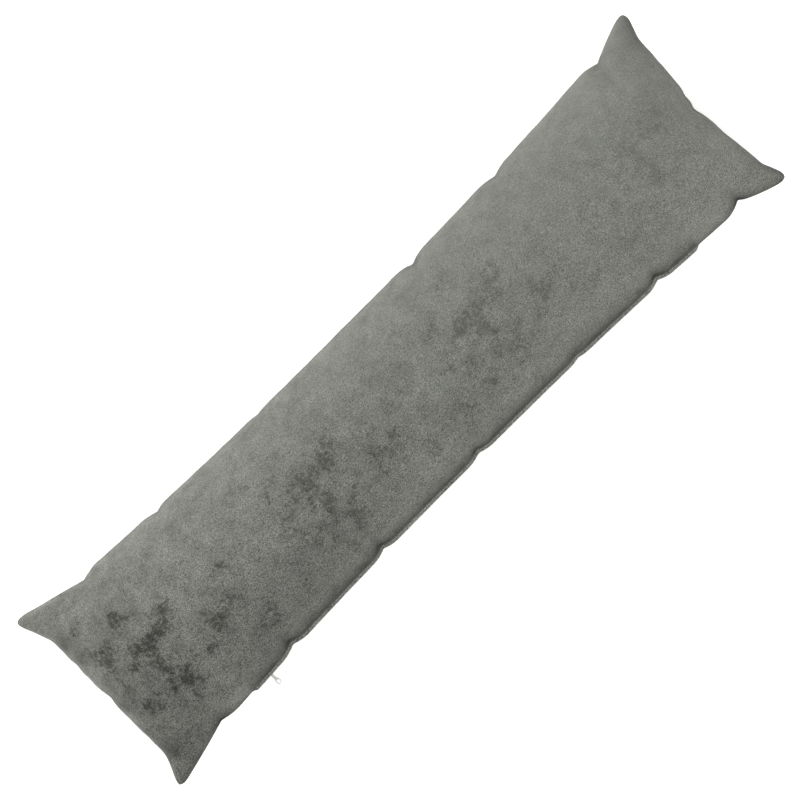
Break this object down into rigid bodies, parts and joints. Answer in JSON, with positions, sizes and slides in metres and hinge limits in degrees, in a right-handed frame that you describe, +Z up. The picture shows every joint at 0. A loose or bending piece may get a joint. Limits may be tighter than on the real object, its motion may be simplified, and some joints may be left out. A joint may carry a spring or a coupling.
{
  "type": "long throw pillow",
  "caption": "Long filled throw pillow in short-pile velour, with drawn-in sides, pulled-out corner ears and a lapped zip along one long edge.",
  "frame": {"origin": "middle of the flat patch on the back that the pillow rests on, at the bottom centre of its box", "axes": "+X along the pillow, +Y across it towards the plain long edge with the zip edge at -Y, +Z up out of the face"},
  "size_m": [1.4102, 0.3862, 0.1845],
  "materials": {
    "velour": "grey-green short-pile velour with crushed darker patches",
    "zip_coil": "grey nylon coil on woven tape",
    "zip_metal": "nickel-plated die-cast zip metal"
  },
  "bodies": {
    "root": {"pillow": "velour", "zip_chain": "zip_coil", "zip_slider": "zip_metal", "zip_pull": "zip_metal"}
  },
  "joints": []
}
